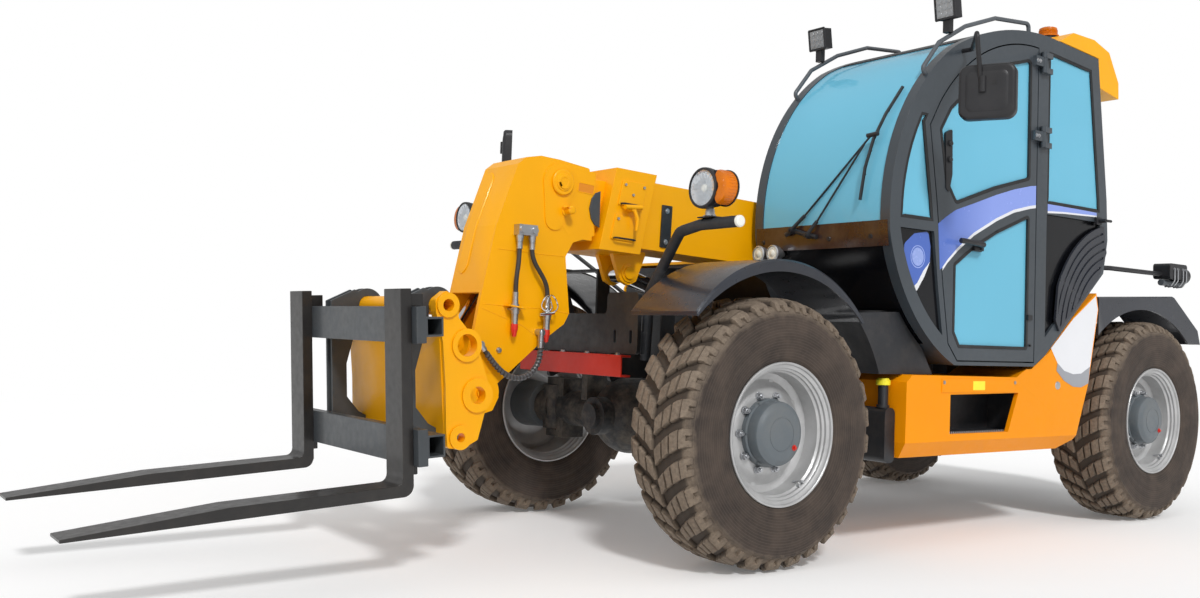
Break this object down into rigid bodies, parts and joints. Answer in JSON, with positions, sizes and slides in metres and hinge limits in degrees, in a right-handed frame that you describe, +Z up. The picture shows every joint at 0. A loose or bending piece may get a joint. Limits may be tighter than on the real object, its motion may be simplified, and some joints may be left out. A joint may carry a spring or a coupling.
{
  "type": "telehandler",
  "caption": "Side-cab telehandler with telescopic boom, gooseneck head, tilting fork carriage, opening door and engine hood, and four-wheel steering.",
  "frame": {"origin": "on the ground under the middle of the machine's overall box, forks and mirrors included", "axes": "+X forward, towards the fork tips; +Y to the cab side (left); +Z up"},
  "size_m": [6.7987, 3.1208, 2.826],
  "materials": {
    "panel_gloss": "gloss paint",
    "zinc": "plated",
    "hose_rubber": "braided hose",
    "frame_black": "satin black paint",
    "cast_black": "painted casting",
    "paint_yellow": "gloss paint",
    "panel_black": "moulded, satin",
    "cap_yellow": "moulded",
    "beam_red": "gloss paint",
    "cylinder_orange": "gloss paint",
    "cylinder_black": "gloss paint",
    "rod_chrome": "polished",
    "carriage_grey": "satin paint",
    "fork_steel": "worn black paint",
    "cab_grey": "satin paint",
    "cab_glass": "tinted",
    "seat_fabric": "woven",
    "rim_silver": "silver paint",
    "tyre_rubber": "dusty"
  },
  "bodies": {
    "chassis": {"chassis_frame": "frame_black", "front_axle": "cast_black", "rear_axle": "cast_black", "counterweight": "paint_yellow", "engine_block": "cast_black", "engine_pod": "panel_black", "side_box": "paint_yellow", "side_tank": "panel_black", "fuel_cap": "cap_yellow", "arch_liner": "panel_black", "cross_beam": "beam_red", "front_fenders": "panel_black", "rear_fenders": "panel_black", "cab_frame": "cab_grey", "cab_panels": "panel_gloss", "louvre": "panel_black", "cab_glass": "cab_glass", "cab_roof": "panel_black", "roof_cowl": "paint_yellow", "seat_base": "panel_black", "seat_cushion": "seat_fabric", "seat_back": "seat_fabric", "dashboard": "panel_black", "side_console": "panel_black", "lamp_brackets": "cab_grey", "lamps": "panel_black", "mirrors": "panel_black"},
    "boom": {"boom_outer": "paint_yellow", "boom_plates": "paint_yellow"},
    "boom_slide": {"boom_inner": "paint_yellow", "boom_head": "paint_yellow", "hose_fittings": "zinc", "hose_left": "hose_rubber", "hose_right": "hose_rubber", "hose_wrapped": "hose_rubber"},
    "carriage": {"coupler": "paint_yellow", "fork_frame": "carriage_grey", "fork_left": "fork_steel", "fork_right": "fork_steel"},
    "lift_barrel": {"lift_barrel": "cylinder_orange"},
    "lift_rod": {"lift_rod": "rod_chrome"},
    "tilt_barrel": {"tilt_barrel": "cylinder_black"},
    "tilt_rod": {"tilt_rod": "rod_chrome"},
    "door": {"door": "cab_grey", "door_glass": "cab_glass"},
    "hood": {"hood": "paint_yellow"},
    "front_left_knuckle": {"front_left_knuckle": "cast_black"},
    "front_left_wheel": {"front_left_wheel": "rim_silver", "front_left_tyre": "tyre_rubber"},
    "front_right_knuckle": {"front_right_knuckle": "cast_black"},
    "front_right_wheel": {"front_right_wheel": "rim_silver", "front_right_tyre": "tyre_rubber"},
    "rear_left_knuckle": {"rear_left_knuckle": "cast_black"},
    "rear_left_wheel": {"rear_left_wheel": "rim_silver", "rear_left_tyre": "tyre_rubber"},
    "rear_right_knuckle": {"rear_right_knuckle": "cast_black"},
    "rear_right_wheel": {"rear_right_wheel": "rim_silver", "rear_right_tyre": "tyre_rubber"}
  },
  "joints": [
    {"name": "boom_lift", "type": "hinge", "parent": "chassis", "child": "boom", "pos_m": [-2.439, 0, 1.58], "axis": [0, -1, 0], "range_deg": [-2.5, 60]},
    {"name": "boom_extend", "type": "slide", "parent": "boom", "child": "boom_slide", "axis": [0.9993, 0, 0.0384], "range_m": [0, 2.4]},
    {"name": "carriage_tilt", "type": "hinge", "parent": "boom_slide", "child": "carriage", "pos_m": [1.646, 0, 0.72], "axis": [0, 1, 0], "range_deg": [-14, 100]},
    {"name": "lift_barrel_pivot", "type": "hinge", "parent": "chassis", "child": "lift_barrel", "pos_m": [-1.239, 0, 0.72], "axis": [0, -1, 0], "range_deg": [-3.96, 64.72]},
    {"name": "lift_rod_slide", "type": "slide", "parent": "lift_barrel", "child": "lift_rod", "axis": [0.9604, 0, 0.2785], "range_m": [-0.0927, 1.4991]},
    {"name": "tilt_barrel_pivot", "type": "hinge", "parent": "boom_slide", "child": "tilt_barrel", "pos_m": [1.232, 0, 1.694], "axis": [0, 1, 0], "range_deg": [-0.57, 3.59]},
    {"name": "tilt_rod_slide", "type": "slide", "parent": "tilt_barrel", "child": "tilt_rod", "axis": [0.5432, 0, -0.8396], "range_m": [-0.057, 0.3526]},
    {"name": "door_hinge", "type": "hinge", "parent": "chassis", "child": "door", "pos_m": [-1.211, 1.092, 2.32], "axis": [0, 0, 1], "range_deg": [0, 150]},
    {"name": "hood_hinge", "type": "hinge", "parent": "chassis", "child": "hood", "pos_m": [-0.909, -0.292, 1.444], "axis": [-1, 0, 0], "range_deg": [0, 65]},
    {"name": "front_left_steer", "type": "hinge", "parent": "chassis", "child": "front_left_knuckle", "pos_m": [0.661, 0.64, 0.59], "axis": [0, 0, 1], "range_deg": [-35, 35]},
    {"name": "front_left_wheel_spin", "type": "hinge", "parent": "front_left_knuckle", "child": "front_left_wheel", "pos_m": [0.661, 0.885, 0.59], "axis": [0, 1, 0], "continuous": true},
    {"name": "front_right_steer", "type": "hinge", "parent": "chassis", "child": "front_right_knuckle", "pos_m": [0.661, -0.64, 0.59], "axis": [0, 0, 1], "range_deg": [-36, 36]},
    {"name": "front_right_wheel_spin", "type": "hinge", "parent": "front_right_knuckle", "child": "front_right_wheel", "pos_m": [0.661, -0.885, 0.59], "axis": [0, 1, 0], "continuous": true},
    {"name": "rear_left_steer", "type": "hinge", "parent": "chassis", "child": "rear_left_knuckle", "pos_m": [-2.479, 0.64, 0.59], "axis": [0, 0, 1], "range_deg": [-35, 35]},
    {"name": "rear_left_wheel_spin", "type": "hinge", "parent": "rear_left_knuckle", "child": "rear_left_wheel", "pos_m": [-2.479, 0.885, 0.59], "axis": [0, 1, 0], "continuous": true},
    {"name": "rear_right_steer", "type": "hinge", "parent": "chassis", "child": "rear_right_knuckle", "pos_m": [-2.479, -0.64, 0.59], "axis": [0, 0, 1], "range_deg": [-36, 36]},
    {"name": "rear_right_wheel_spin", "type": "hinge", "parent": "rear_right_knuckle", "child": "rear_right_wheel", "pos_m": [-2.479, -0.885, 0.59], "axis": [0, 1, 0], "continuous": true}
  ],
  "couplings": [
    {"joint": "lift_barrel_pivot", "follows": "boom_lift", "ratio": 1.0567},
    {"joint": "lift_rod_slide", "follows": "boom_lift", "m_per_rad": 1.4014},
    {"joint": "tilt_barrel_pivot", "follows": "carriage_tilt", "ratio": 0.035079},
    {"joint": "tilt_rod_slide", "follows": "carriage_tilt", "m_per_rad": 0.19698},
    {"joint": "front_right_steer", "follows": "front_left_steer", "ratio": 1},
    {"joint": "rear_right_steer", "follows": "rear_left_steer", "ratio": 1}
  ]
}
